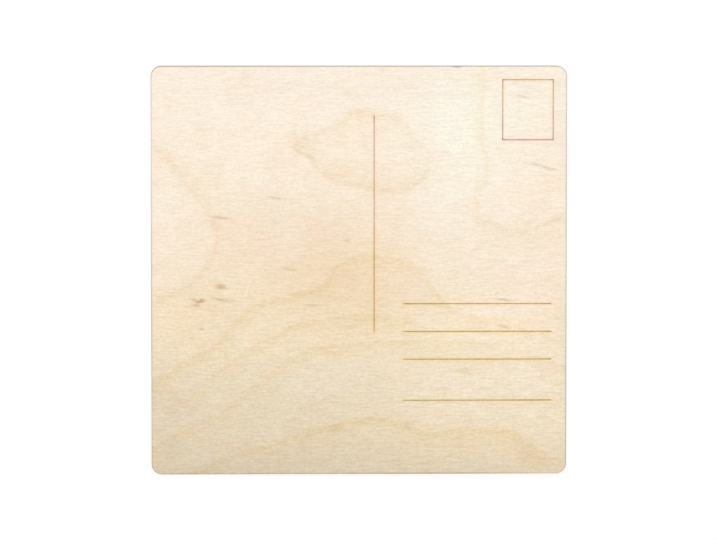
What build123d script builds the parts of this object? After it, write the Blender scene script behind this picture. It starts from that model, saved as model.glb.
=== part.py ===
from build123d import *

import math
import os

# A wooden postcard: an almost square card of three-ply birch plywood, cut out and scored by a laser.
# It lies on its picture side with the writing side up, and the origin is the middle of the picture side.
# X runs along the written lines, Y towards the card's top edge and Z up out of the writing side.
# All sizes are in millimetres and all angles in degrees.

# Outline of the picture side, where the beam leaves the wood
CARD_WIDTH = 140.0
CARD_HEIGHT = 137.7
CORNER_RADIUS = 3.5

# The kerf is widest where the beam enters, so the cut wall leans in towards the writing side.
KERF_DRAFT = 1.0

# The beam also burns the corner off between the writing side and the cut wall.
BURNT_EDGE = 0.12

# Thickness of the layers: two face veneers, a cross-grained core, and a glue film on each side of the core
FACE_VENEER = 0.6
CORE_VENEER = 0.7
GLUE_FILM = 0.05

# A scored line is a groove with sloping flanks, a narrow floor and round ends.
SCORE_WIDTH = 0.3
SCORE_FLOOR = 0.06
SCORE_DEPTH = 0.15

# Frame for the stamp, measured between the middles of its lines
STAMP_WIDTH = 17.0
STAMP_HEIGHT = 20.2
STAMP_RIGHT_MARGIN = 4.65
STAMP_TOP_MARGIN = 4.7

# Upright line between the message and the address
DIVIDER_LENGTH = 73.0
DIVIDER_TOP_MARGIN = 16.8
DIVIDER_RIGHT_OF_MIDDLE = 5.05

# Lines for the address, from the lowest up: the town stands apart from the evenly spaced lines above it.
ADDRESS_LENGTH = 49.8
ADDRESS_RIGHT_MARGIN = 5.3
ADDRESS_BOTTOM_MARGIN = 24.9
TOWN_GAP = 13.9
ADDRESS_PITCH = 9.37
ADDRESS_LINES_ABOVE_TOWN = 3

# Heights at which the layers meet
PICTURE_GLUE_BOTTOM = FACE_VENEER
CORE_BOTTOM = PICTURE_GLUE_BOTTOM + GLUE_FILM
WRITING_GLUE_BOTTOM = CORE_BOTTOM + CORE_VENEER
WRITING_VENEER_BOTTOM = WRITING_GLUE_BOTTOM + GLUE_FILM
WRITING_FACE = WRITING_VENEER_BOTTOM + FACE_VENEER

CARD_RIGHT = CARD_WIDTH / 2
CARD_TOP = CARD_HEIGHT / 2
CARD_FOOT = -CARD_TOP


def layer(bottom, thickness):
    """One sheet of the card between two heights, with its stretch of the leaning cut wall."""
    drawn_in = bottom * math.tan(math.radians(KERF_DRAFT))
    outline = RectangleRounded(
        CARD_WIDTH - 2 * drawn_in,
        CARD_HEIGHT - 2 * drawn_in,
        CORNER_RADIUS - drawn_in,
    )
    return extrude(Plane.XY.offset(bottom) * outline, amount=thickness, taper=KERF_DRAFT)


def score(start_x, start_y, length, heading):
    """The wood that the beam takes away along one line, from the beam's first middle point to its last."""
    flank = math.degrees(math.atan2((SCORE_WIDTH - SCORE_FLOOR) / 2, SCORE_DEPTH))
    into_the_face = Plane((start_x, start_y, WRITING_FACE), x_dir=heading, z_dir=(0, 0, -1))
    mouth = into_the_face * Pos(length / 2, 0) * SlotCenterToCenter(length, SCORE_WIDTH)
    return extrude(mouth, amount=SCORE_DEPTH, taper=flank)


def stamp_frame():
    """Four scored lines round the place for the stamp."""
    right = CARD_RIGHT - STAMP_RIGHT_MARGIN
    top = CARD_TOP - STAMP_TOP_MARGIN
    left = right - STAMP_WIDTH
    foot = top - STAMP_HEIGHT
    across = [score(left, y, STAMP_WIDTH, (1, 0, 0)) for y in (foot, top)]
    upright = [score(x, foot, STAMP_HEIGHT, (0, 1, 0)) for x in (left, right)]
    return across + upright


def divider():
    """The upright line that parts the message from the address."""
    return score(DIVIDER_RIGHT_OF_MIDDLE, CARD_TOP - DIVIDER_TOP_MARGIN, DIVIDER_LENGTH, (0, -1, 0))


def address_lines():
    """The line for the town, and the evenly spaced lines above it."""
    left = CARD_RIGHT - ADDRESS_RIGHT_MARGIN - ADDRESS_LENGTH
    town = CARD_FOOT + ADDRESS_BOTTOM_MARGIN
    first_above = town + TOWN_GAP
    heights = [town] + [first_above + ADDRESS_PITCH * i for i in range(ADDRESS_LINES_ABOVE_TOWN)]
    return [score(left, y, ADDRESS_LENGTH, (1, 0, 0)) for y in heights]


def writing_side_veneer():
    """The upper face veneer, with its burnt edge and the scored lines."""
    sheet = layer(WRITING_VENEER_BOTTOM, FACE_VENEER)
    rim = sheet.faces().sort_by(Axis.Z)[-1].outer_wire().edges()
    sheet = fillet(rim, BURNT_EDGE)
    return sheet - [*stamp_frame(), divider(), *address_lines()]


SHEETS = {
    "picture_side_veneer": layer(0, FACE_VENEER),
    "picture_side_glue_film": layer(PICTURE_GLUE_BOTTOM, GLUE_FILM),
    "core_veneer": layer(CORE_BOTTOM, CORE_VENEER),
    "writing_side_glue_film": layer(WRITING_GLUE_BOTTOM, GLUE_FILM),
    "writing_side_veneer": writing_side_veneer(),
}

os.makedirs("parts", exist_ok=True)
for name, sheet in SHEETS.items():
    export_step(sheet, f"parts/{name}.step")
    size = sheet.bounding_box().size
    print(f"{name}: {size.X:.2f} x {size.Y:.2f} x {size.Z:.3f} mm, {sheet.volume:.1f} mm3")
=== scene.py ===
"""Dresses the wooden postcard and sets it on a pale studio floor.

The card is three plies of birch veneer, cut out and scored by a laser. It lies on its picture side: X runs
along the written lines, Y to the top edge and Z up out of the writing side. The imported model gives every
place and size, and the figure of the wood is laid out in millimetres from the middle of the card.
"""
import logging
import math
from abc import ABC, abstractmethod
from collections.abc import Iterable, Sequence
from dataclasses import dataclass, replace
from enum import Enum

import bmesh
import bpy
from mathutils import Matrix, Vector


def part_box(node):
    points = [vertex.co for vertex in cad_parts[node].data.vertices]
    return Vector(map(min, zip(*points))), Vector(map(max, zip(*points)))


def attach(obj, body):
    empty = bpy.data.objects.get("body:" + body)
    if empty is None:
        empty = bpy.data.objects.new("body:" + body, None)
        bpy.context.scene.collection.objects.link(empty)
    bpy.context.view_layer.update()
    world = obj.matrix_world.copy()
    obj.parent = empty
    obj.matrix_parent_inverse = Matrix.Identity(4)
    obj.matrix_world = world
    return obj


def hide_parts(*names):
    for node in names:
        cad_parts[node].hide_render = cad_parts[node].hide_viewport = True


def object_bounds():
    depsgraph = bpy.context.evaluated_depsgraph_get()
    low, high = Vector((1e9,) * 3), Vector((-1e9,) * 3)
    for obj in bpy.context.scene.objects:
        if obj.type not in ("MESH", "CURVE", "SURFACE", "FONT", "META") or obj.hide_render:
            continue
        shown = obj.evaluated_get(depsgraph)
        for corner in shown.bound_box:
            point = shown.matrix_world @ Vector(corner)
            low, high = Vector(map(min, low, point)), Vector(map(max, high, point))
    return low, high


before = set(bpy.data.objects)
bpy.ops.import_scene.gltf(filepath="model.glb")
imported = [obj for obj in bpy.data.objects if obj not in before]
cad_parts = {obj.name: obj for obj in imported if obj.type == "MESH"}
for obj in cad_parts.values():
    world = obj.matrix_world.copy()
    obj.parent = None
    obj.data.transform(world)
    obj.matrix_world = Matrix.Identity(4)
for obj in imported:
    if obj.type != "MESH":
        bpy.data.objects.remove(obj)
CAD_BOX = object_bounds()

Socket = bpy.types.NodeSocket
# What a node's input gets: another node's output, or a value
Feed = Socket | float | tuple[float, ...]
Colour = tuple[float, float, float, float]
Points = Sequence[tuple[float, float]]
# An easing: the value where it starts, the value where it ends, and the level at each of them
Ease = tuple[float, float, float, float]

MM = 0.001
BAKE_MAP = "OFBake"

# Sizes of the solids that the finishes need, in millimetres: the burnt rim takes in the burnt edge and the
# leaning wall, and the arc of the top right corner has its middle at CORNER_MIDDLE
CORNER_RADIUS = 3.5
CORNER_MIDDLE = tuple(reach / MM - CORNER_RADIUS for reach in CAD_BOX[1].xy)
SCORE_FLOOR = 0.06
BURNT_RIM = 0.16

# How upright a face's normal stands, by its Z: above FLAT the face is level, and below STEEP it is a wall
FLAT = 0.999
STEEP = 0.5

# How near to each other two corners are joined, in metres, and the angle from which an edge is sharp
MERGE_DISTANCE = 1e-6
SHARP_EDGE = math.radians(30.0)

# How strong the finer layers of a noise are
NOISE_ROUGHNESS = 0.55

# Settings that many nodes share
EASED = {"interpolation_type": "SMOOTHSTEP"}
COLOURS = {"data_type": "RGBA"}

# A Mix node's sockets for colours go by number, because its other sockets have the same names
MIX_FACTOR = 0
MIX_FIRST = 6
MIX_SECOND = 7
MIX_RESULT = 2

log = logging.getLogger("wooden_postcard")


def linear(hex_colour: str) -> Colour:
    """Turns an sRGB colour into the linear one that Blender's nodes work in.

    Args:
        hex_colour: the colour as #RRGGBB.

    Returns:
        Red, green, blue and an alpha of 1.
    """
    channels = [int(hex_colour[i:i + 2], 16) / 255 for i in (1, 3, 5)]
    bright = [c / 12.92 if c <= 0.04045 else ((c + 0.055) / 1.055) ** 2.4 for c in channels]
    return bright[0], bright[1], bright[2], 1.0


class NodeBoard:
    """The nodes of a material or of the world."""

    def __init__(self, tree: bpy.types.NodeTree) -> None:
        """Takes over the nodes.

        Args:
            tree: the material's or the world's nodes.
        """
        self.tree = tree

    def add(
        self,
        kind: str,
        inputs: Sequence[Feed] | dict[str | int, Feed] = (),
        stops: Points = (),
        output: str | int = 0,
        **settings: str | bool,
    ) -> Socket:
        """Adds a node, sets it up and links it.

        Args:
            kind: Blender's name for the node, without its ShaderNode in front.
            inputs: what the inputs get, in order or by name or number: a value, or the output that feeds it.
            stops: points of a curve, from left to right, each a place and a height from 0 to 1.
            output: name or number of the output that is wanted.
            settings: the node's own properties.

        Returns:
            That output.
        """
        node = self.tree.nodes.new("ShaderNode" + kind)
        for name, value in settings.items():
            setattr(node, name, value)
        feeds = inputs if isinstance(inputs, dict) else dict(enumerate(inputs))
        for key, feed in feeds.items():
            if isinstance(feed, Socket):
                self.tree.links.new(feed, node.inputs[key])
            else:
                node.inputs[key].default_value = feed
        if stops:
            points = node.mapping.curves[0].points
            points[0].location, points[-1].location = stops[0], stops[-1]
            for place, height in stops[1:-1]:
                points.new(place, height)
            for point in points:
                point.handle_type = "AUTO_CLAMPED"
            node.mapping.update()
        return node.outputs[output]

    def joined(self, parts: Iterable[Feed], operation: str = "ADD") -> Socket:
        """Joins values into one, two at a time from the first.

        Args:
            parts: the values.
            operation: the arithmetic that joins them, by Blender's name for it.

        Returns:
            The joined value.
        """
        first, *rest = parts
        for part in rest:
            first = self.add("Math", (first, part), operation=operation)
        return first

    def seen(self) -> Socket:
        """Tells rays that look at the background from rays that light the card.

        Returns:
            1 for a ray from the camera or from a shiny or clear surface, otherwise 0.
        """
        rays = self.add("LightPath").node.outputs
        looking = ("Is Camera Ray", "Is Glossy Ray", "Is Transmission Ray")
        return self.joined([rays[name] for name in looking], "MAXIMUM")


@dataclass(frozen=True)
class Noise:
    """A random pattern in a material.

    size is the length of its cells along X, Y and Z in millimetres, detail the number of finer layers in it,
    and start the place where it begins, so that two of one size differ.
    """

    size: tuple[float, float, float]
    detail: float
    start: float


@dataclass(frozen=True)
class Grain(Noise):
    """A random pattern that is eased between two levels; before that it goes from 0 to 1 about 0.5."""

    ease: Ease


@dataclass(frozen=True)
class Spot:
    """A soft oval mark on a face of the card.

    x and y are its middle, length and width its size, all in millimetres; turn is in degrees, and depth says
    how strong the mark is at its middle.
    """

    x: float
    y: float
    length: float
    width: float
    depth: float
    turn: float = 0.0


class SurfaceBoard(NodeBoard):
    """The nodes of one of the card's materials, with the card's coordinates in millimetres at hand."""

    def __init__(self, name: str) -> None:
        """Starts a material.

        Args:
            name: what the real material is.
        """
        self.material = bpy.data.materials.new(name)
        self.material.use_nodes = True
        super().__init__(self.material.node_tree)
        metres = self.add("TexCoord", output="Object")
        self.place = self.add("VectorMath", {"Vector": metres, "Scale": 1 / MM}, operation="SCALE")

    def noise(self, pattern: Noise, output: str = "Fac") -> Socket:
        """Lays a random pattern over the material.

        Args:
            pattern: the pattern.
            output: Fac for one number, or Color for three that differ.

        Returns:
            The pattern, from 0 to 1 about a mean of 0.5.
        """
        per_mm = tuple(1 / length for length in pattern.size)
        start = (pattern.start, pattern.start, pattern.start)
        stretched = self.add("VectorMath", (self.place, per_mm, start), operation="MULTIPLY_ADD")
        inputs = {"Vector": stretched, "Scale": 1.0, "Detail": pattern.detail, "Roughness": NOISE_ROUGHNESS}
        return self.add("TexNoise", inputs, output=output)

    def grain(self, pattern: Grain) -> Socket:
        """Lays a random pattern over the material and eases it between its two levels."""
        return self.add("MapRange", (self.noise(pattern), *pattern.ease), **EASED)

    def spots(self, spots: Iterable[Spot], place: Socket) -> Socket:
        """Lays soft oval marks on a face.

        Args:
            spots: the marks.
            place: flat coordinates in mm.

        Returns:
            The depth of all the marks together.
        """
        depths = []
        for spot in spots:
            inputs = {
                "Vector": place,
                "Location": (spot.x, spot.y, 0.0),
                "Rotation": (0.0, 0.0, math.radians(spot.turn)),
                "Scale": (spot.length / 2, spot.width / 2, 1.0),
            }
            oval = self.add("Mapping", inputs, vector_type="TEXTURE")
            cone = self.add("TexGradient", (oval,), output="Fac", gradient_type="SPHERICAL")
            depths.append(self.add("MapRange", (cone, 0.0, 1.0, 0.0, spot.depth), **EASED))
        return self.joined(depths)

    def beyond(self, place: Socket, half: Sequence[float]) -> Socket:
        """Measures how far a place lies outside a rectangle round the origin.

        Args:
            place: flat coordinates in mm.
            half: half the rectangle's width and half its height in mm.

        Returns:
            The distance in mm, which is 0 inside.
        """
        away = self.add("VectorMath", (place,), operation="ABSOLUTE")
        away = self.add("VectorMath", (away, (*half, 0.0)), operation="SUBTRACT")
        away = self.add("VectorMath", (away, (0.0, 0.0, 0.0)), operation="MAXIMUM")
        return self.add("VectorMath", (away,), output="Value", operation="LENGTH")

    def finish(self, colour: Socket, roughness: Socket, height: Socket, relief: float) -> bpy.types.Material:
        """Feeds the shader.

        Args:
            colour: the surface's colour.
            roughness: its roughness.
            height: its fine relief, from 0 to 1.
            relief: the depth of that relief in mm.

        Returns:
            The finished material.
        """
        bump = self.add("Bump", {"Strength": 1.0, "Distance": relief * MM, "Height": height})
        shader = self.tree.nodes["Principled BSDF"]
        for name, socket in {"Base Color": colour, "Roughness": roughness, "Normal": bump}.items():
            self.tree.links.new(socket, shader.inputs[name])
        return self.material


class Run(Enum):
    """The axis along which a growth ring or a ply's fibres run."""

    ALONG_X = 0
    ALONG_Y = 1


# Cross-sections of a growth ring: the golden late wood, sharp to one side and paling away to the other, and
# the thin grey line at its edge
RING_GOLD = (
    (0.0, 0.0), (0.39, 0.04), (0.455, 0.55), (0.5, 1.0), (0.56, 0.75), (0.66, 0.4), (0.84, 0.12), (1.0, 0.0),
)
RING_LINE = (
    (0.0, 0.0), (0.44, 0.0), (0.475, 0.6), (0.5, 1.0), (0.53, 0.6), (0.6, 0.3), (0.78, 0.1), (1.0, 0.0),
)


@dataclass(frozen=True)
class GrowthRing:
    """A growth ring of the tree where the peeled sheet cuts it, as a line over one axis of the card.

    path holds places along that axis and across it, in millimetres. golden is how much denser the wood is on
    the line and grey how much duller; reach is how far its soft side goes (below zero: to the lower side),
    and fade the length of its two ends.
    """

    run: Run
    path: Points
    golden: float
    grey: float
    reach: float
    fade: float = 8.0

    def middle(self, board: SurfaceBoard, along: Socket) -> Socket:
        """Follows the ring's line.

        Args:
            board: nodes of the veneer's material.
            along: place along the ring's axis in mm.

        Returns:
            The line's place across that axis in mm.
        """
        places, heights = zip(*self.path)
        start, end = places[0], places[-1]
        low, high = min(heights), max(heights)
        stops = [((x - start) / (end - start), (y - low) / (high - low)) for x, y in self.path]
        share = board.add("MapRange", (along, start, end))
        bend = board.add("FloatCurve", {"Value": share}, stops)
        return board.add("MapRange", (bend, 0.0, 1.0, low, high))

    def bands(self, board: SurfaceBoard, place: tuple[Socket, Socket]) -> tuple[Socket, Socket]:
        """Draws the ring.

        Args:
            board: nodes of the veneer's material.
            place: X and Y on the face in mm, wandering with the fibres.

        Returns:
            The density that the ring adds to the wood, and how far it greys it.
        """
        along, across = place[self.run.value], place[1 - self.run.value]
        middle = self.middle(board, along)
        # The line's slope is taken over one millimetre, and the offset from it is measured square to it, so
        # that a steep stretch is as wide as a level one.
        ahead = self.middle(board, board.joined((along, 1.0)))
        step = board.add("CombineXYZ", (1.0, board.joined((ahead, middle), "SUBTRACT")))
        stride = board.add("VectorMath", (step,), output="Value", operation="LENGTH")
        offset = board.joined((board.joined((across, middle), "SUBTRACT"), stride), "DIVIDE")
        section = board.add("MapRange", (offset, -self.reach, self.reach))
        start, end = self.path[0][0], self.path[-1][0]
        begins = board.add("MapRange", (along, start, start + self.fade, 0.0, 1.0), **EASED)
        ends = board.add("MapRange", (along, end, end - self.fade, 0.0, 1.0), **EASED)
        gold = board.add("FloatCurve", {"Value": section}, RING_GOLD)
        line = board.add("FloatCurve", {"Value": section}, RING_LINE)
        return (
            board.joined((gold, begins, ends, self.golden), "MULTIPLY"),
            board.joined((line, begins, ends, self.grey), "MULTIPLY"),
        )


@dataclass(frozen=True)
class ScoredLine:
    """A straight line that the beam scored into the writing side, from its lower to its upper end in mm."""

    low: tuple[float, float]
    high: tuple[float, float]

    def distance(self, board: SurfaceBoard, place: Socket) -> Socket:
        """Measures how far the line is.

        Args:
            board: nodes of the veneer's material.
            place: flat coordinates in mm.

        Returns:
            The distance to the line in mm.
        """
        middle = [(a + b) / 2 for a, b in zip(self.low, self.high)]
        half = [(b - a) / 2 for a, b in zip(self.low, self.high)]
        return board.beyond(board.add("VectorMath", (place, (*middle, 0.0)), operation="SUBTRACT"), half)


class Cover(Enum):
    """How a burn lies on the wood, as the blend that draws it.

    A stain lets the wood show. A char hides it, and grows with the beam's power.
    """

    STAIN = "MULTIPLY"
    CHAR = "MIX"


@dataclass(frozen=True)
class Burn:
    """One of the burns that a scored line leaves: rosy on pale wood and golden on denser wood.

    reach gives its strength over the distance from the line in millimetres.
    """

    rosy: str
    golden: str
    reach: Ease
    cover: Cover


# The burns of a scored line, from the faint warmth round it to its charred floor
LINE_BURNS = (
    Burn("#FFFBFB", "#FFFCEE", (1.8, 0.2, 0.0, 1.0), Cover.STAIN),
    Burn("#E4C9B8", "#E2C288", (0.55, 0.1, 0.0, 0.6), Cover.CHAR),
    Burn("#8A6556", "#66502F", (0.18, 0.02, 0.0, 0.72), Cover.CHAR),
)

# Figure of the writing side: the rings round the lens-shaped peak, the bulge at the left edge, the slope
# that rises to a flat top in the middle, the two rings under it, the foot, the bay at the right edge and the
# ring below it
LENS_TOP = GrowthRing(
    Run.ALONG_X,
    (
        (-25, 39.6), (-22.5, 42.2), (-20.5, 43.7), (-17, 45), (-13, 47), (-9, 48.6), (-5, 49.6),
        (-2.5, 53.4), (2, 54), (7, 52.6), (11, 52), (14, 50.6), (16, 48.2), (17.8, 45.6), (19.6, 42.8),
        (22.7, 40.6), (25.2, 38.2), (29, 34.4),
    ),
    golden=0.26, grey=0.02, reach=-12.0, fade=5.0,
)
LENS_FOOT = GrowthRing(
    Run.ALONG_X,
    (
        (-25, 43.5), (-22, 41.6), (-19.5, 40.4), (-17, 38.4), (-14, 35), (-12, 32.4), (-8, 30.2),
        (-4, 29.3), (0, 28.5), (5, 27.4), (10, 26.7), (14, 27), (16.4, 27.7), (19, 29.5), (22.1, 31.4),
        (24, 33.8), (25.2, 37), (27, 43),
    ),
    golden=0.26, grey=0.045, reach=13.0, fade=5.0,
)
LEFT_BULGE = GrowthRing(
    Run.ALONG_Y,
    (
        (-13, -70), (-9, -66), (-7, -61.5), (-5, -57.5), (-2, -54), (0, -52), (3, -50.3), (7, -48.6),
        (13, -48), (18, -49.8), (21.5, -52), (24, -54), (27, -56.2), (30, -58.8), (34, -62),
        (38, -65.5), (42, -68.5), (46, -72),
    ),
    golden=0.2, grey=0.026, reach=12.0, fade=3.0,
)
MIDDLE_SLOPE = GrowthRing(
    Run.ALONG_X,
    (
        (-80, -45), (-72, -40), (-67, -36.6), (-63, -34.4), (-60, -31.6), (-57, -30), (-51.5, -27.6),
        (-47.5, -24.6), (-44.5, -21.1), (-41.5, -17.7), (-38, -14.4), (-34.5, -12), (-28, -10),
        (-20, -8), (-16, -7), (-12, -6), (-10.4, -3.8), (-9, -0.6), (-5, 2.5), (-2, 3.6), (5, 4.5),
        (12, 3.8), (17, 2.4), (20, 0.2), (24, -4.5), (26, -8), (28, -10.8), (34, -15), (38, -16.1),
        (46, -16.8), (60, -17),
    ),
    golden=0.38, grey=0.008, reach=-8.0, fade=6.0,
)
SECOND_SLOPE = GrowthRing(
    Run.ALONG_X,
    (
        (-68, -48.5), (-62, -44.6), (-57, -42.6), (-51, -37.2), (-47, -34), (-40, -29), (-34, -25),
        (-28, -21.9), (-22, -19), (-15, -17.1), (-8, -16.2), (3, -15.6), (14, -17), (24, -18.4),
    ),
    golden=0.32, grey=0.012, reach=-8.0, fade=8.0,
)
THIRD_SLOPE = GrowthRing(
    Run.ALONG_X,
    (
        (-80, -67), (-70, -61), (-66, -58.4), (-60, -55), (-54, -52), (-48, -49), (-43, -46),
        (-37, -41), (-31, -36.6), (-28, -34), (-22, -29.6), (-14, -26.6), (-6, -25.7), (4, -24.8),
        (24, -24.2), (50, -25.4),
    ),
    golden=0.31, grey=0.004, reach=-8.0, fade=6.0,
)
FOOT_RING = GrowthRing(
    Run.ALONG_X,
    (
        (-64, -73), (-54, -68), (-47, -64.6), (-38, -61.5), (-33, -60.4), (-28, -59), (-24, -57.5),
        (-15, -54.5), (-7, -52.7), (0, -50.6), (9, -50.8), (15, -52.4), (20, -54.8), (26, -55.3),
        (35, -54.3), (45, -54.4), (52, -56), (56, -58.6), (60, -61), (66, -66),
    ),
    golden=0.52, grey=0.0, reach=-10.0, fade=6.0,
)
RIGHT_BAY_SIDE = GrowthRing(
    Run.ALONG_Y,
    (
        (15, 43), (16.5, 41.4), (18.5, 40.2), (21, 39.8), (24.5, 39.8), (27, 40.7), (29, 42.2),
        (32.6, 43.2), (36.3, 43), (41.2, 42), (47, 41.5), (53, 41.2), (58.5, 41.9), (63.4, 42.2),
        (66.5, 41.7), (70, 41.6),
    ),
    golden=0.32, grey=0.0, reach=-6.0, fade=2.0,
)
RIGHT_BAY_FOOT = GrowthRing(
    Run.ALONG_X,
    (
        (39, 18.6), (41.5, 17), (44, 16.3), (49, 14), (53, 13), (57, 13.2), (60, 14.5), (63, 16),
        (67, 17.1), (72, 17.8),
    ),
    golden=0.2, grey=0.028, reach=-10.0, fade=2.0,
)
RIGHT_EDGE_RING = GrowthRing(
    Run.ALONG_X, ((54, -28), (60, -29.8), (65, -31.8), (72, -33), (80, -34.4)),
    golden=0.36, grey=0.012, reach=-8.0, fade=7.0,
)
WRITING_RINGS = (
    LENS_TOP, LENS_FOOT, LEFT_BULGE, MIDDLE_SLOPE, SECOND_SLOPE, THIRD_SLOPE, FOOT_RING, RIGHT_BAY_SIDE,
    RIGHT_BAY_FOOT, RIGHT_EDGE_RING,
)

# Where the writing side's rings fade, and below zero where they are stronger than elsewhere
WRITING_FADES = (
    Spot(25, 37, 14, 18, 0.6),
    Spot(17.5, 46, 12, 10, 0.25, -50),
    Spot(-23, -8.5, 34, 12, -0.5, 13),
    Spot(-9.5, -1.5, 10, 8, -0.3),
    Spot(-65, -36, 22, 14, -0.5, 30),
    Spot(28, -11, 12, 10, -0.4),
    Spot(50, -16.8, 26, 10, 0.6),
    Spot(-11, -26.2, 12, 8, -0.5),
    Spot(8, -16.2, 12, 8, -0.5),
    Spot(-38, -62, 44, 16, 0.4, 15),
    Spot(-53, -1.5, 16, 12, 0.4),
    Spot(-7, -53, 20, 10, -0.35),
    Spot(42, -55.5, 44, 12, -0.2),
)

# Broad changes of the writing side's density about its change from foot to top
WRITING_CLOUDS = (
    Spot(0, -7, 84, 52, 0.38),
    Spot(-12, 8, 60, 36, 0.16),
    Spot(34, 42, 70, 90, -0.26),
    Spot(42, -14, 100, 120, -0.2),
    Spot(58, 0, 60, 60, -0.14),
    Spot(-66, 12, 40, 60, -0.22),
    Spot(-54, -15, 46, 26, 0.18),
    Spot(36, -32, 44, 22, 0.14),
    Spot(35.6, -33.6, 13, 7, 0.24),
    Spot(24, 16, 44, 40, -0.1),
    Spot(1.5, 52.2, 16, 9, 0.2),
    Spot(23, 35.6, 8, 9, 0.12),
    Spot(-8, 33.4, 18, 10, 0.2),
    Spot(-21.6, 41.5, 6, 5, 0.14),
    Spot(-58, 30.6, 30, 9, 0.12, -50),
    Spot(-65, 37.6, 10, 6, 0.2, -50),
    Spot(10, 48.6, 12, 7, 0.14),
    Spot(12, 29.4, 16, 6, 0.12),
    Spot(20, -2, 14, 10, 0.12),
    Spot(-15, 0, 70, 26, 0.1),
    Spot(-16, -38.5, 46, 20, -0.16),
    Spot(38, -37, 80, 20, -0.15),
    Spot(-36, 6, 24, 56, 0.15),
    Spot(24, -2, 22, 22, -0.13),
    Spot(12, 19, 20, 32, 0.1),
    Spot(-5, 48, 26, 12, 0.1),
    Spot(61, -32, 24, 26, -0.13),
    Spot(0, 30, 40, 24, 0.06),
    Spot(52, 9, 36, 14, 0.14),
    Spot(44, -60, 46, 12, 0.12),
    Spot(58, -63.5, 26, 10, 0.14),
    Spot(-9, -52.6, 14, 5, 0.3),
    Spot(-47.4, -5.2, 6, 4.4, 0.4),
    Spot(-54, -10.8, 8, 5, 0.25),
    Spot(-45.6, -10.2, 9, 3.6, 0.2),
)

# Where the wood is greener than elsewhere, and below zero where it is more of a peach
WRITING_TINTS = (
    Spot(38, 48, 70, 60, 0.42),
    Spot(-30, 58, 90, 50, -0.1),
    Spot(56, -14, 70, 70, -0.27),
    Spot(-47.8, 11, 6, 20, -0.6),
    Spot(-47.4, 17.8, 8, 4, -0.7),
    Spot(-13.5, 12.5, 17, 11, -0.5),
    Spot(-29.5, 7.5, 15, 9, -0.45),
    Spot(25, 39.8, 15, 6, -0.5),
    Spot(-11, 31.4, 7, 6, -0.5),
    Spot(2, 29, 10, 4, -0.5),
    Spot(-48, -25, 7, 6, -0.4),
    Spot(-42.6, -46.6, 8, 7, -0.4),
    Spot(56.8, 44.6, 26, 6, -0.9),
    Spot(60, 56, 34, 34, 0.16),
    Spot(30, 30, 34, 28, 0.15),
    Spot(60, 0, 34, 28, -0.12),
    Spot(-61, -15, 28, 22, -0.14),
    Spot(-20, -55, 130, 18, 0.1),
    Spot(-38, -36, 80, 40, 0.08),
    Spot(66, -32.4, 18, 6, -0.45),
    Spot(61, -62.5, 20, 10, -0.4),
    Spot(52.6, 59.2, 8, 4, -0.5),
)

# Painted shade: where the writing side is drawn darker than its wood, most of all towards its foot and its
# bottom left corner, and below zero where it is drawn brighter
WRITING_PAINTED_SHADE = (
    Spot(-55, -52, 100, 72, 0.085),
    Spot(-10, -52, 100, 72, 0.085),
    Spot(-72, -48, 50, 52, 0.06),
    Spot(-52, -72, 60, 30, 0.03),
    Spot(-22, 14, 80, 40, 0.02),
    Spot(-8, -4, 60, 36, 0.03),
    Spot(46, -20, 64, 40, -0.04),
    Spot(-45, -96, 300, 96, 0.09),
    Spot(45, -96, 300, 96, 0.09),
    Spot(0, -84, 600, 72, 0.18),
    Spot(-63, -15, 24, 18, -0.03),
    Spot(-40, -62.5, 56, 14, -0.02, 14),
    Spot(0, 16, 180, 28, 0.014),
    Spot(30, -22, 34, 28, -0.02),
    Spot(0, -60, 90, 34, -0.018),
    Spot(0, 62, 220, 22, 0.026),
    Spot(2, -67, 70, 8, -0.02),
    Spot(38, -51, 64, 8, 0.018),
    Spot(70, 48, 16, 64, 0.03),
)

# Short dark streaks of bark and pith fleck on the writing side
WRITING_FLECKS = (
    Spot(-46.6, -5.4, 5.2, 2.8, 0.55),
    Spot(-45.2, -6, 8, 1.3, 0.24),
    Spot(-55.3, -10, 5.2, 1.6, 0.5, -20),
    Spot(-54, -10.6, 3.6, 1.6, 0.42, 12),
    Spot(-53, -10.2, 4.4, 1.9, 0.5, 14),
    Spot(-54.9, -11.8, 4.8, 1.6, 0.52),
    Spot(-46.1, -9.9, 12, 1.9, 0.3, -9),
    Spot(-47.4, -9.7, 5, 1.6, 0.16, -13),
    Spot(-49.4, -13.6, 3.6, 1.6, 0.14),
    Spot(-53.4, -19.8, 3.6, 1.3, 0.4),
    Spot(-46.6, 17.8, 10, 2, 0.4, -8),
    Spot(-28.4, 24.4, 10, 1.3, 0.36, -8),
    Spot(-23.8, 0.4, 11, 1.5, 0.27, -10),
    Spot(-16.2, -11.9, 9, 1.6, 0.28),
    Spot(55.2, 58.4, 6.6, 1.2, 0.36, -12),
    Spot(58.9, 35.7, 10, 1.3, 0.26, -5),
    Spot(63.4, 34.5, 9.6, 1.5, 0.34, -15),
    Spot(66, 33.7, 6, 1.2, 0.2, -2),
    Spot(62.5, 15.4, 12, 1.5, 0.16, 22),
    Spot(48.8, -10, 9, 1.6, 0.38, -8),
    Spot(48.4, -19, 8, 1.5, 0.34, -8),
    Spot(29.4, 39.6, 6, 1.2, 0.16, -4),
    Spot(-4.2, 10, 3, 1.6, 0.2),
    Spot(43.8, 16.5, 4.6, 1.6, 0.13),
    Spot(54.6, 12.6, 7, 1.8, 0.1),
    Spot(33.2, 10.3, 6, 1.6, 0.14),
    Spot(38.8, 7, 7, 1.6, 0.12),
    Spot(35.4, -33.9, 11, 3, 0.12, 8),
    Spot(16.4, -52.6, 7, 3, 0.1),
    Spot(33, 68.6, 5, 1.4, 0.6),
)

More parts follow.
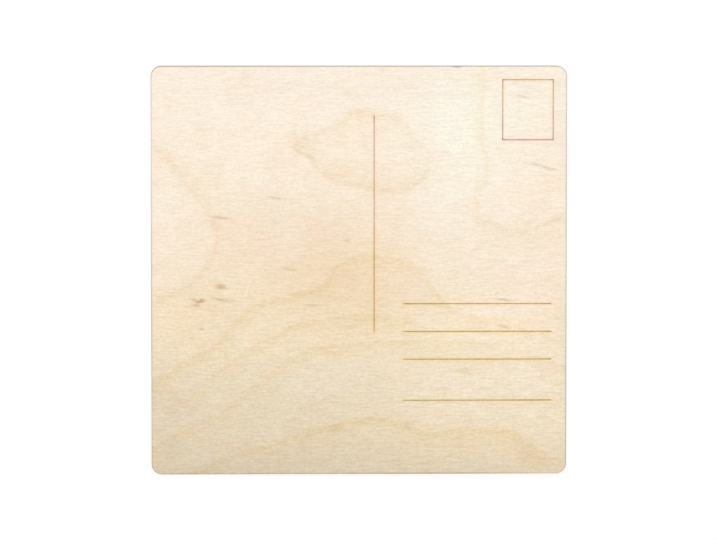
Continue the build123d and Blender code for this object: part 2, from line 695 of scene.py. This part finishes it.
# Where the beam was still gaining power, and below zero where it lingered, as at the ends of the lines
WEAK_STROKES = (
    Spot(5.05, -22, 6, 9, 0.6),
    Spot(5.05, 16, 8, 160, 0.15),
    Spot(5.05, 51.4, 3, 5, -0.4),
    Spot(14, -11.3, 4.6, 4, 0.4),
    Spot(16.5, -11.3, 4, 4, -0.4),
    Spot(14, -20.7, 4.6, 4, 0.4),
    Spot(14, -30.05, 4.6, 4, 0.4),
    Spot(14, -43.95, 4.6, 4, 0.4),
    Spot(64.2, -11.3, 4, 4, -0.3),
    Spot(64.2, -20.7, 4, 4, -0.3),
    Spot(64.2, -30.05, 4, 4, -0.3),
    Spot(60, -43.95, 30, 4, -0.3),
    Spot(56.85, 58, 44, 24, 0.3),
    Spot(56.85, 43.95, 34, 3, -0.25),
    Spot(48.35, 43.95, 2.6, 2.6, -0.6),
    Spot(65.35, 43.95, 2.6, 2.6, -0.6),
    Spot(48.35, 64.15, 2.6, 2.6, -0.6),
    Spot(65.35, 64.15, 2.6, 2.6, -0.6),
)

# Where the beam has burnt the lines golden although the wood is pale
WARM_STROKES = (
    Spot(56.85, 60, 42, 32, 0.5),
)

# Where the cut has burnt the rim more than elsewhere, and below zero where it has burnt it less
WRITING_RIM = (
    Spot(-70, 42, 16, 90, -0.5),
    Spot(-70, -52, 16, 60, -0.4),
    Spot(0, 69, 220, 16, 0.25),
    Spot(-58, 69, 90, 16, 0.4),
    Spot(70, -36, 16, 90, 0.5),
    Spot(24, -69, 74, 16, 0.9),
    Spot(62, -69, 50, 12, -0.4),
)
PICTURE_RIM = (
    Spot(-70, 20, 16, 110, -0.4),
    Spot(30, -69, 110, 16, -0.3),
)

# Figure of the picture side, which is another peel of the same log: two long flames and a plain flank
PICTURE_RINGS = (
    GrowthRing(
        Run.ALONG_X,
        ((-69, 8), (-50, 13), (-34, 21), (-20, 33), (-6, 38), (12, 31), (30, 19), (69, 9)),
        golden=0.35, grey=0.02, reach=-8.4,
    ),
    GrowthRing(
        Run.ALONG_X,
        ((-69, -6), (-46, -2), (-28, 6), (-12, 18), (-2, 21), (14, 13), (34, 3), (69, -5)),
        golden=0.39, grey=0.02, reach=-7.0,
    ),
    GrowthRing(
        Run.ALONG_X,
        ((-69, -20), (-40, -17), (-20, -9), (-6, -1), (6, -1.5), (24, -10), (48, -17), (69, -18)),
        golden=0.32, grey=0.02, reach=-7.0,
    ),
    GrowthRing(
        Run.ALONG_X,
        ((-69, -43), (-30, -38), (4, -33), (36, -37), (69, -45)),
        golden=0.28, grey=0.02, reach=-11.2,
    ),
    GrowthRing(
        Run.ALONG_X,
        ((-69, 51), (-36, 55), (-2, 60), (34, 56), (69, 49)),
        golden=0.24, grey=0.02, reach=9.8,
    ),
)
PICTURE_FADES = (
    Spot(30, -8, 50, 30, 0.4),
    Spot(-40, 14, 40, 30, -0.2),
)
PICTURE_CLOUDS = (
    Spot(0, 4, 120, 60, 0.35),
    Spot(50, 48, 70, 50, -0.2),
    Spot(-52, -52, 70, 50, 0.2),
)
PICTURE_TINTS = (
    Spot(-40, 36, 70, 50, 0.4),
    Spot(34, -30, 80, 60, -0.4),
)
PICTURE_SMOKE = (
    Spot(-60, -60, 80, 60, 0.06),
    Spot(64, 20, 40, 90, 0.05),
)
PICTURE_FLECKS = (
    Spot(22, -22, 7, 1.4, 0.5),
    Spot(26, -25.5, 4, 1.2, 0.45),
    Spot(-38, 30, 8, 1.1, 0.4, 6),
    Spot(-8, -48, 6, 1, 0.35),
    Spot(50, 26, 5, 1.3, 0.4, -8),
)

# How dense the wood is from a side's foot to its top edge, from 0 for the palest wood to 1 for the densest
WRITING_RISE = (
    (0, 0.77), (0.06, 0.75), (0.17, 0.68), (0.28, 0.69), (0.39, 0.66), (0.5, 0.52), (0.61, 0.37),
    (0.72, 0.21), (0.83, 0.09), (0.94, 0.02), (1, 0.02),
)
PICTURE_RISE = ((0, 0.5), (0.35, 0.62), (0.6, 0.7), (1, 0.4))


@dataclass(frozen=True)
class SandedBirch:
    """Rotary-peeled birch veneer, sanded and left bare.

    The eye gets a pale cream that turns to tan where the wood is denser, soft growth rings, fibres that run
    along X, short brown flecks and hardly any shine. The beam has burnt it along the scored lines and at the
    rim. Lengths are in millimetres; foot_cast and darkest_fibre go by the height on the card.
    """

    name: str
    rings: tuple[GrowthRing, ...]
    fades: tuple[Spot, ...]
    clouds: tuple[Spot, ...]
    tints: tuple[Spot, ...]
    smoke_and_painted_shade: tuple[Spot, ...]
    flecks: tuple[Spot, ...]
    rim: tuple[Spot, ...]
    rise: Points
    scores: tuple[ScoredLine, ...] = ()
    weak_strokes: tuple[Spot, ...] = ()
    warm_strokes: tuple[Spot, ...] = ()

    # How dense the wood is: 1 gives the pale colour, and 2 a full tan.
    pale: str = "#FAECDA"
    palest: float = 0.95
    densest: float = 1.95
    mottle: Grain = Grain((14.0, 5.0, 5.0), 3.0, 21.4, (0.2, 0.8, -0.14, 0.14))

    # Fibres pull every ring and edge out along X, and the whole figure sways a little across them.
    tug: Grain = Grain((4.0, 0.6, 0.6), 2.0, 3.1, (0.2, 0.8, -0.6, 0.6))
    sway: Grain = Grain((6.0, 3.0, 3.0), 2.0, 8.7, (0.2, 0.8, -0.45, 0.45))

    # A ring is not an even line: its fibres take up the dark in strands, and it comes and goes.
    ring_strands: Grain = Grain((2.4, 0.5, 0.5), 2.0, 15.2, (0.25, 0.75, 0.25, 1.75))

    # The cast goes from peach to olive. The wood is greener towards the foot, and the late wood of its rings
    # is golden near the top and olive near the foot.
    peach: str = "#FFFAFC"
    olive: str = "#FAFFFB"
    patches: Grain = Grain((6.0, 3.5, 3.5), 2.0, 27.9, (0.3, 0.7, 0.36, 0.64))
    foot_cast: Ease = (22.0, -28.0, 0.0, 0.43)
    late_wood_cast: tuple[float, float] = (0.42, 0.95)

    # Fibres are 0.02 mm thick, so they are drawn as bundles of about 0.7 mm, which the picture can show. The
    # roughness and the relief follow them.
    short_fibres: Grain = Grain((1.1, 0.8, 0.8), 2.0, 41.3, (0.2, 0.8, 0.0, 0.54))
    long_fibres: Grain = Grain((5.0, 0.66, 0.66), 1.0, 57.1, (0.2, 0.8, 0.0, 0.46))
    darkest_fibre: Ease = (-45.0, 20.0, 0.842, 0.897)
    palest_fibre: float = 1.08
    roughness: Ease = (0.2, 0.8, 0.82, 0.68)
    relief: float = 0.02

    # Vessels of 0.1 mm are cut open as short grooves, which are a little darker than the fibres and drawn
    # 0.4 mm wide to show. Single strands only show from close by.
    vessels: Grain = Grain((3.4, 0.4, 0.4), 1.0, 71.9, (0.6, 0.8, 0.0, 0.07))
    strands: Grain = Grain((1.6, 0.1, 0.1), 1.0, 83.3, (0.25, 0.75, -0.03, 0.03))

    # A fleck is crumbled along its edge, where it breaks up between the fibres.
    fleck_brown: str = "#B08A52"
    crumbs: Noise = Noise((1.6, 0.6, 0.6), 2.0, 63.7)
    crumble: tuple[float, float, float] = (2.4, 1.2, 0.0)

    # The beam's power is uneven, and it burns denser wood golden.
    beam: Grain = Grain((1.4, 1.4, 1.4), 2.0, 33.0, (0.25, 0.75, 0.75, 1.1))
    golden_burn: Ease = (1.1, 1.6, 0.0, 1.0)

    # Strength of the rim's haze and char, over the distance from the middle of a corner's arc
    soot: str = "#5A5350"
    rim_haze: Ease = (CORNER_RADIUS - 0.7, CORNER_RADIUS - BURNT_RIM, 0.0, 0.16)
    rim_char: Ease = (CORNER_RADIUS - 0.26, CORNER_RADIUS - 0.07, 0.0, 0.85)

    def figure(self, board: SurfaceBoard, flat: Socket) -> tuple[Socket, Socket, Socket]:
        """Works out the figure of the wood.

        Args:
            board: nodes of this material.
            flat: coordinates on the face in mm.

        Returns:
            How dense the wood is, the share that its rings have in that, and how far they grey it.
        """
        shift = board.add("CombineXYZ", (board.grain(self.tug), board.grain(self.sway)))
        wandering = board.add("VectorMath", (flat, shift), operation="ADD")
        split = board.add("SeparateXYZ", (wandering,)).node.outputs
        low, high = (corner.y / MM for corner in CAD_BOX)
        share = board.add("MapRange", (split["Y"], low, high))
        rise = board.add("FloatCurve", {"Value": share}, self.rise)
        base = board.add("MapRange", (rise, 0.0, 1.0, self.palest, self.densest), clamp=False)
        strands = board.grain(self.ring_strands)
        full = board.joined((1.0, board.spots(self.fades, flat)), "SUBTRACT")
        bands = zip(*(ring.bands(board, (split["X"], split["Y"])) for ring in self.rings))
        golden, grey = (board.joined((board.joined(band), strands, full), "MULTIPLY") for band in bands)
        clouds = board.spots(self.clouds, flat)
        return board.joined((base, clouds, golden, board.grain(self.mottle))), golden, grey

    def tinted(self, board: SurfaceBoard, flat: Socket, golden: Socket, colour: Socket) -> Socket:
        """Gives the wood its cast.

        Args:
            board: nodes of this material.
            flat: coordinates on the face in mm.
            golden: the rings' share in the wood's density.
            colour: the wood without its cast.

        Returns:
            The wood with its cast.
        """
        height = board.add("SeparateXYZ", (flat,), output="Y")
        foot = board.add("MapRange", (height, *self.foot_cast), **EASED)
        late_wood = board.add("MapRange", (foot, 0.0, 1.0, *self.late_wood_cast), clamp=False)
        late_wood = board.joined((golden, late_wood), "MULTIPLY")
        green = board.joined((board.grain(self.patches), foot, late_wood, board.spots(self.tints, flat)))
        inputs = {MIX_FACTOR: green, MIX_FIRST: linear(self.peach), MIX_SECOND: linear(self.olive)}
        cast = board.add("Mix", inputs, output=MIX_RESULT, clamp_factor=False, **COLOURS)
        inputs = {MIX_FACTOR: 1.0, MIX_FIRST: colour, MIX_SECOND: cast}
        return board.add("Mix", inputs, output=MIX_RESULT, blend_type="MULTIPLY", **COLOURS)

    def shaded(
        self, board: SurfaceBoard, flat: Socket, fibres: Socket, grey: Socket, colour: Socket,
    ) -> Socket:
        """Draws fibres, vessels, smoke and painted shade, which change how bright the wood is.

        Args:
            board: nodes of this material.
            flat: coordinates on the face in mm.
            fibres: the fibres, from 0 for dark to 1 for pale.
            grey: how far the rings grey the wood.
            colour: the wood without its fibres.

        Returns:
            The wood with its fibres.
        """
        height = board.add("SeparateXYZ", (flat,), output="Y")
        darkest = board.add("MapRange", (height, *self.darkest_fibre), **EASED)
        shade = board.add("MapRange", (fibres, 0.0, 1.0, darkest, self.palest_fibre))
        fine = (board.grain(self.vessels), board.grain(self.strands))
        # On the writing side the smoke spots are painted shade, which darkens its foot and its bottom left
        # corner
        dulled_and_shaded = board.joined((board.spots(self.smoke_and_painted_shade, flat), grey, *fine))
        shade = board.joined((shade, board.joined((1.0, dulled_and_shaded), "SUBTRACT")), "MULTIPLY")
        return board.add("VectorMath", {"Vector": colour, "Scale": shade}, operation="SCALE")

    def flecked(self, board: SurfaceBoard, flat: Socket, colour: Socket) -> Socket:
        """Scatters the flecks.

        Args:
            board: nodes of this material.
            flat: coordinates on the face in mm.
            colour: the wood without its flecks.

        Returns:
            The wood with its flecks.
        """
        back = tuple(-reach / 2 for reach in self.crumble)
        start = board.add("VectorMath", (flat, back), operation="ADD")
        crumbs = board.noise(self.crumbs, "Color")
        crumbled = board.add("VectorMath", (crumbs, self.crumble, start), operation="MULTIPLY_ADD")
        flecks = board.spots(self.flecks, crumbled)
        inputs = {MIX_FACTOR: flecks, MIX_FIRST: colour, MIX_SECOND: linear(self.fleck_brown)}
        return board.add("Mix", inputs, output=MIX_RESULT, **COLOURS)

    def scored(self, board: SurfaceBoard, flat: Socket, density: Socket, colour: Socket) -> Socket:
        """Burns the scored lines into the wood.

        Args:
            board: nodes of this material.
            flat: coordinates on the face in mm.
            density: how dense the wood is.
            colour: the wood without its lines.

        Returns:
            The wood with its lines, if it has any.
        """
        if not self.scores:
            return colour
        near = board.joined([line.distance(board, flat) for line in self.scores], "MINIMUM")
        weak = board.joined((1.0, board.spots(self.weak_strokes, flat)), "SUBTRACT")
        power = board.joined((board.grain(self.beam), weak), "MULTIPLY")
        dense = board.add("MapRange", (density, *self.golden_burn), **EASED)
        golden = board.joined((dense, board.spots(self.warm_strokes, flat)))
        for burn in LINE_BURNS:
            inputs = {MIX_FACTOR: golden, MIX_FIRST: linear(burn.rosy), MIX_SECOND: linear(burn.golden)}
            tone = board.add("Mix", inputs, output=MIX_RESULT, **COLOURS)
            share = board.add("MapRange", (near, *burn.reach), **EASED)
            if burn.cover is Cover.CHAR:
                share = board.joined((share, power), "MULTIPLY")
            inputs = {MIX_FACTOR: share, MIX_FIRST: colour, MIX_SECOND: tone}
            colour = board.add("Mix", inputs, output=MIX_RESULT, blend_type=burn.cover.value, **COLOURS)
        return colour

    def rimmed(self, board: SurfaceBoard, flat: Socket, colour: Socket) -> Socket:
        """Burns the rim of the face.

        Args:
            board: nodes of this material.
            flat: coordinates on the face in mm.
            colour: the wood without its burnt rim.

        Returns:
            The wood with its rim.
        """
        away = board.beyond(flat, CORNER_MIDDLE)
        marks = [board.add("MapRange", (away, *ease), **EASED) for ease in (self.rim_haze, self.rim_char)]
        power = board.joined((1.0, board.spots(self.rim, flat)))
        burnt = board.joined((board.joined(marks, "MAXIMUM"), power), "MULTIPLY")
        inputs = {MIX_FACTOR: burnt, MIX_FIRST: colour, MIX_SECOND: linear(self.soot)}
        return board.add("Mix", inputs, output=MIX_RESULT, **COLOURS)

    def material(self) -> bpy.types.Material:
        """Makes the material.

        Returns:
            The wood with its figure and its burns.
        """
        board = SurfaceBoard(self.name)
        flat = board.add("VectorMath", (board.place, (1.0, 1.0, 0.0)), operation="MULTIPLY")
        density, golden, grey = self.figure(board, flat)
        fibres = board.joined((board.grain(self.short_fibres), board.grain(self.long_fibres)))
        colour = board.add("Gamma", (linear(self.pale), density))
        colour = self.tinted(board, flat, golden, colour)
        colour = self.shaded(board, flat, fibres, grey, colour)
        colour = self.flecked(board, flat, colour)
        colour = self.scored(board, flat, density, colour)
        colour = self.rimmed(board, flat, colour)
        roughness = board.add("MapRange", (fibres, *self.roughness), **EASED)
        return board.finish(colour, roughness, fibres, self.relief)


@dataclass(frozen=True)
class LaserCutPly:
    """The edge of a birch ply where the beam went through.

    The eye gets a matt brown-black char, streaked upright where the beam pulsed, that lets the ply's own
    fibres show as paler strands.
    """

    name: str
    grain: Run
    char: str
    ember: str

    # The beam's pulses are some 0.05 mm apart and fibres 0.02 mm thick, so the streaks are drawn 0.4 mm wide
    # and the strands 0.2 mm thick to show. A strand runs along the ply's grain.
    pulses: Noise = Noise((0.4, 0.4, 3.0), 2.0, 5.5)
    strands: Noise = Noise((0.2, 0.2, 0.2), 2.0, 11.9)
    strand_length: float = 3.0
    stains: Noise = Noise((9.0, 9.0, 3.0), 2.0, 17.3)
    glow: Ease = (1.15, 1.9, 0.0, 1.0)
    roughness: Ease = (0.25, 0.75, 0.9, 0.7)
    relief: float = 0.02

    def material(self) -> bpy.types.Material:
        """Makes the material.

        Returns:
            The charred edge of a ply.
        """
        board = SurfaceBoard(self.name)
        size = list(self.strands.size)
        size[self.grain.value] = self.strand_length
        strands = board.noise(replace(self.strands, size=tuple(size)))
        mixed = board.joined((board.noise(self.pulses), strands, board.noise(self.stains)))
        glow = board.add("MapRange", (mixed, *self.glow), **EASED)
        inputs = {MIX_FACTOR: glow, MIX_FIRST: linear(self.char), MIX_SECOND: linear(self.ember)}
        colour = board.add("Mix", inputs, output=MIX_RESULT, **COLOURS)
        roughness = board.add("MapRange", (strands, *self.roughness), **EASED)
        return board.finish(colour, roughness, mixed, self.relief)


@dataclass(frozen=True)
class CuredGlue:
    """A film of cured urea resin, charred where the beam cut it.

    The eye gets a thin, nearly black line between two plies, with a dull gleam where the resin bubbled.
    """

    name: str
    char: str = "#1F1712"
    resin: str = "#4B3422"

    # Bubbles of some 0.1 mm are drawn at 0.5 mm, because the film itself is thinner than a pixel.
    bubbles: Noise = Noise((0.5, 0.5, 0.5), 2.0, 2.2)
    runs: Noise = Noise((6.0, 6.0, 1.0), 2.0, 7.7)
    resin_share: Ease = (0.4, 0.75, 0.0, 1.0)
    roughness: Ease = (0.3, 0.7, 0.35, 0.65)
    relief: float = 0.02

    def material(self) -> bpy.types.Material:
        """Makes the material.

        Returns:
            The charred edge of a glue film.
        """
        board = SurfaceBoard(self.name)
        bubbles = board.noise(self.bubbles)
        share = board.add("MapRange", (board.noise(self.runs), *self.resin_share), **EASED)
        inputs = {MIX_FACTOR: share, MIX_FIRST: linear(self.char), MIX_SECOND: linear(self.resin)}
        colour = board.add("Mix", inputs, output=MIX_RESULT, **COLOURS)
        roughness = board.add("MapRange", (bubbles, *self.roughness), **EASED)
        return board.finish(colour, roughness, bubbles, self.relief)


@dataclass(frozen=True)
class BackdropPaper:
    """Matt backdrop paper under soft light.

    The eye gets an even white with the card's faint shadow on it. The light that the paper throws back onto
    the card is that of a pale grey.
    """

    name: str = "matt_backdrop_paper"
    grey: str = "#E6E6E6"
    seen_grey: str = "#6C6C6C"
    glow_white: str = "#FFFFFF"
    glow: float = 0.87
    roughness: float = 1.0
    shine: float = 0.0

    def material(self) -> bpy.types.Material:
        """Makes the material.

        Returns:
            The paper, white to the camera.
        """
        paper = bpy.data.materials.new(self.name)
        paper.use_nodes = True
        board = NodeBoard(paper.node_tree)
        shader = board.tree.nodes["Principled BSDF"].inputs
        shader["Roughness"].default_value = self.roughness
        shader["Specular IOR Level"].default_value = self.shine
        shader["Emission Color"].default_value = linear(self.glow_white)
        seen = board.seen()
        inputs = {MIX_FACTOR: seen, MIX_FIRST: linear(self.grey), MIX_SECOND: linear(self.seen_grey)}
        board.tree.links.new(board.add("Mix", inputs, output=MIX_RESULT, **COLOURS), shader["Base Color"])
        board.tree.links.new(board.joined((seen, self.glow), "MULTIPLY"), shader["Emission Strength"])
        return paper


class Side(Enum):
    """The side of a face veneer that shows, as the sign of its normal's Z."""

    WRITING = 1.0
    PICTURE = -1.0


def merged_copy(node: str) -> bmesh.types.BMesh:
    """Copies a layer's solid with its loose triangles joined up.

    Args:
        node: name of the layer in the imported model.

    Returns:
        The joined mesh.
    """
    bm = bmesh.new()
    bm.from_mesh(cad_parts[node].data)
    bmesh.ops.remove_doubles(bm, verts=bm.verts, dist=MERGE_DISTANCE)
    return bm


def placed(name: str, bm: bmesh.types.BMesh) -> bpy.types.Object:
    """Puts a modelled shape into the scene.

    Args:
        name: name of the piece.
        bm: its shape, which is used up.

    Returns:
        The piece.
    """
    mesh = bpy.data.meshes.new(name)
    bm.to_mesh(mesh)
    bm.free()
    piece = bpy.data.objects.new(name, mesh)
    bpy.context.scene.collection.objects.link(piece)
    return piece


@dataclass
class FaceVeneer(ABC):
    """One of the two outer plies.

    Its shape is the solid's own. The piece joins up the solid's loose triangles, so that the figure bakes
    onto one undivided map, in which the side that shows takes nearly all the room. The hidden side has a
    small patch at the map's foot, and each of the four walls has a row beside it. Sizes on the map are
    shares of the whole.
    """

    cut_edge: LaserCutPly
    node: str
    piece: str
    slot: str
    side: Side
    map_gap: float = 0.004
    map_foot: float = 0.08
    map_patch: float = 0.065
    map_row: float = 0.0145

    @abstractmethod
    def face_finish(self) -> SandedBirch:
        """Gives the finish of the side that shows."""

    def inset(self, point: Vector) -> float:
        """Tells how far inside the card's outline a point lies.

        Args:
            point: the point in the card's frame.

        Returns:
            The distance in mm, up to the corner radius.
        """
        away = [max(abs(c) / MM - middle, 0.0) for c, middle in zip(point.xy, CORNER_MIDDLE)]
        return CORNER_RADIUS - math.hypot(*away)

    def map_place(self, box: tuple[Vector, Vector], normal: Vector, point: Vector) -> tuple[float, float]:
        """Finds a corner's place on the bake map.

        Args:
            box: lowest and highest corner of the ply.
            normal: normal of the face that the corner belongs to.
            point: the corner in the card's frame.

        Returns:
            The two map coordinates, each from 0 to 1.
        """
        across, up, rise = ((p - a) / (b - a) for p, a, b in zip(point, *box))
        if normal.z * self.side.value > STEEP:
            across = across if self.side is Side.WRITING else 1.0 - across
            span = 1.0 - 2 * self.map_gap
            return self.map_gap + across * span, self.map_foot + up * (1.0 - self.map_gap - self.map_foot)
        if normal.z * self.side.value < -STEEP:
            return self.map_gap + across * self.map_patch, self.map_gap + up * self.map_patch
        sideways = abs(normal.x) > abs(normal.y)
        row = (0 if sideways else 2) + (normal.x > 0 if sideways else normal.y > 0)
        start = self.map_patch + 3 * self.map_gap
        along = up if sideways else across
        foot = self.map_gap + row * (self.map_row + self.map_gap)
        return start + along * (1.0 - self.map_gap - start), foot + rise * self.map_row

    def build(self) -> bpy.types.Object:
        """Makes the piece from the solid, with its bake map and its two finishes.

        Returns:
            The piece.
        """
        bm = merged_copy(self.node)
        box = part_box(self.node)
        layer = bm.loops.layers.uv.new(BAKE_MAP)
        for edge in bm.edges:
            edge.smooth = edge.calc_face_angle() < SHARP_EDGE
        for face in bm.faces:
            face.smooth = abs(face.normal.z) < FLAT
            outer = all(self.inset(corner.co) < BURNT_RIM for corner in face.verts)
            level = face.normal.z * self.side.value > STEEP
            face.material_index = int(outer and face.smooth and not level)
            for loop in face.loops:
                loop[layer].uv = self.map_place(box, face.normal, loop.vert.co)
        piece = placed(self.piece, bm)
        for finish in (self.face_finish(), self.cut_edge):
            piece.data.materials.append(finish.material())
        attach(piece, "root")
        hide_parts(self.node)
        return piece


@dataclass
class PictureSideVeneer(FaceVeneer):
    """The lower ply, whose picture side is plain wood."""

    node: str = "picture_side_veneer"
    piece: str = "picture_face_veneer"
    slot: str = "picture_veneer"
    side: Side = Side.PICTURE

    def face_finish(self) -> SandedBirch:
        """Gives the finish of the picture side.

        Returns:
            The finish.
        """
        return SandedBirch(
            "sanded_birch_picture_side",
            rings=PICTURE_RINGS,
            fades=PICTURE_FADES,
            clouds=PICTURE_CLOUDS,
            tints=PICTURE_TINTS,
            smoke_and_painted_shade=PICTURE_SMOKE,
            flecks=PICTURE_FLECKS,
            rim=PICTURE_RIM,
            rise=PICTURE_RISE,
        )


@dataclass
class WritingSideVeneer(FaceVeneer):
    """The upper ply, with the scored lines for the stamp, the message and the address."""

    node: str = "writing_side_veneer"
    piece: str = "writing_face_veneer"
    slot: str = "writing_veneer"
    side: Side = Side.WRITING

    def scored_lines(self) -> tuple[ScoredLine, ...]:
        """Finds the scored lines by the floors of their grooves.

        Returns:
            The lines: four for the frame of the stamp, and one for each other groove.
        """
        bm = merged_copy(self.node)
        face = CAD_BOX[1].z - MERGE_DISTANCE
        floors = {f for f in bm.faces if f.normal.z > FLAT and f.calc_center_median().z < face}
        lines: list[ScoredLine] = []
        while floors:
            group = [floors.pop()]
            for floor in group:
                near = {other for edge in floor.edges for other in edge.link_faces} & floors
                floors -= near
                group.extend(near)
            corners = [corner.co / MM for floor in group for corner in floor.verts]
            left, right = (pick(c.x for c in corners) for pick in (min, max))
            foot, top = (pick(c.y for c in corners) for pick in (min, max))
            half = SCORE_FLOOR / 2
            left, right, foot, top = left + half, right - half, foot + half, top - half
            if min(right - left, top - foot) < SCORE_FLOOR:
                lines.append(ScoredLine((left, foot), (right, top)))
            else:
                lines += [ScoredLine((left, y), (right, y)) for y in (foot, top)]
                lines += [ScoredLine((x, foot), (x, top)) for x in (left, right)]
        bm.free()
        return tuple(lines)

    def face_finish(self) -> SandedBirch:
        """Gives the finish of the writing side, with its scored lines.

        Returns:
            The finish.
        """
        return SandedBirch(
            "sanded_birch_writing_side",
            rings=WRITING_RINGS,
            fades=WRITING_FADES,
            clouds=WRITING_CLOUDS,
            tints=WRITING_TINTS,
            smoke_and_painted_shade=WRITING_PAINTED_SHADE,
            flecks=WRITING_FLECKS,
            rim=WRITING_RIM,
            rise=WRITING_RISE,
            scores=self.scored_lines(),
            weak_strokes=WEAK_STROKES,
            warm_strokes=WARM_STROKES,
        )


@dataclass
class InnerLayer:
    """A layer of which only the cut edge shows: its solid stays, and gets its finish."""

    node: str
    finish: LaserCutPly | CuredGlue

    def build(self) -> bpy.types.Object:
        """Dresses the layer's solid.

        Returns:
            The solid.
        """
        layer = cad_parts[self.node]
        material = self.finish.material()
        for slot in layer.material_slots:
            slot.material = material
        return layer


@dataclass
class Studio:
    """A pale floor, an even dome of light with one large soft lamp, and the camera over the card.

    The camera looks down at its aim on the writing side, a little from beyond the card's top edge and from
    its left. camera_lean is in degrees, camera_field is the width of the picture where the card lies,
    camera_sight is how far the camera sees, and lengths are in metres. The lamp hangs beyond the card's top
    right corner.
    """

    camera_lean: tuple[float, float] = (3.2, 1.6)
    camera_distance: float = 1.55
    camera_field: float = 0.24121
    camera_aim: tuple[float, float] = (-0.000385, 0.000127)
    camera_sight: float = 100.0
    sensor_mm: float = 36.0
    paper: BackdropPaper = BackdropPaper()
    floor_half: float = 4.0
    floor_drop: float = 0.00005
    dome_white: str = "#FFFFFF"
    dome: float = 0.668
    dome_seen: float = 1.0
    lamp_place: tuple[float, float, float] = (0.1, 0.5, 1.2)
    lamp_size: float = 0.6
    lamp_power: float = 7.0

    def lay_floor(self) -> bpy.types.Object:
        """Lays the floor under the card, a hair lower, so that the two don't share one plane.

        Returns:
            The floor.
        """
        bm = bmesh.new()
        bmesh.ops.create_grid(bm, x_segments=1, y_segments=1, size=self.floor_half)
        bmesh.ops.translate(bm, verts=bm.verts, vec=(0.0, 0.0, CAD_BOX[0].z - self.floor_drop))
        floor = placed("studio_floor", bm)
        floor.data.materials.append(self.paper.material())
        return floor

    def light(self) -> None:
        """Lights the dome and hangs the soft lamp, which faces the card."""
        world = bpy.data.worlds.new("studio_dome")
        bpy.context.scene.world = world
        world.use_nodes = True
        board = NodeBoard(world.node_tree)
        background = board.tree.nodes["Background"].inputs
        background["Color"].default_value = linear(self.dome_white)
        strength = board.add("MapRange", (board.seen(), 0.0, 1.0, self.dome, self.dome_seen))
        board.tree.links.new(strength, background["Strength"])
        lamp = bpy.data.lights.new("soft_lamp", "AREA")
        lamp.size = self.lamp_size
        lamp.energy = self.lamp_power
        hung = bpy.data.objects.new("soft_lamp", lamp)
        hung.location = self.lamp_place
        hung.rotation_euler = Vector(self.lamp_place).to_track_quat("Z", "Y").to_euler()
        bpy.context.scene.collection.objects.link(hung)

    def aim_camera(self) -> None:
        """Hangs the camera so that the card has its size, place and lean in the picture."""
        lens = bpy.data.cameras.new("camera_over_card")
        lens.sensor_width = self.sensor_mm
        lens.lens = self.sensor_mm * self.camera_distance / self.camera_field
        lens.clip_end = self.camera_sight
        camera = bpy.data.objects.new("camera_over_card", lens)
        camera.rotation_euler = [-math.radians(lean) for lean in (*self.camera_lean, 0.0)]
        back = camera.rotation_euler.to_matrix() @ Vector((0.0, 0.0, self.camera_distance))
        camera.location = Vector((*self.camera_aim, CAD_BOX[1].z)) + back
        bpy.context.scene.collection.objects.link(camera)
        bpy.context.scene.camera = camera


def main() -> None:
    """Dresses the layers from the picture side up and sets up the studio."""
    logging.basicConfig(level=logging.INFO, format="%(message)s")
    face_edge = LaserCutPly("laser_cut_birch_face_ply", Run.ALONG_X, "#4A3423", "#9A7750")
    core_edge = LaserCutPly("laser_cut_birch_core_ply", Run.ALONG_Y, "#35251A", "#6E5134")
    glue = CuredGlue("charred_urea_glue")
    layers = (
        PictureSideVeneer(face_edge),
        InnerLayer("picture_side_glue_film", glue),
        InnerLayer("core_veneer", core_edge),
        InnerLayer("writing_side_glue_film", glue),
        WritingSideVeneer(face_edge),
    )
    for layer in layers:
        piece = layer.build()
        log.info("%s: %d faces", piece.name, len(piece.data.polygons))
    studio = Studio()
    log.info("%s laid", studio.lay_floor().name)
    studio.light()
    studio.aim_camera()
    bpy.context.scene.view_settings.view_transform = "Standard"


if __name__ == "__main__":
    main()
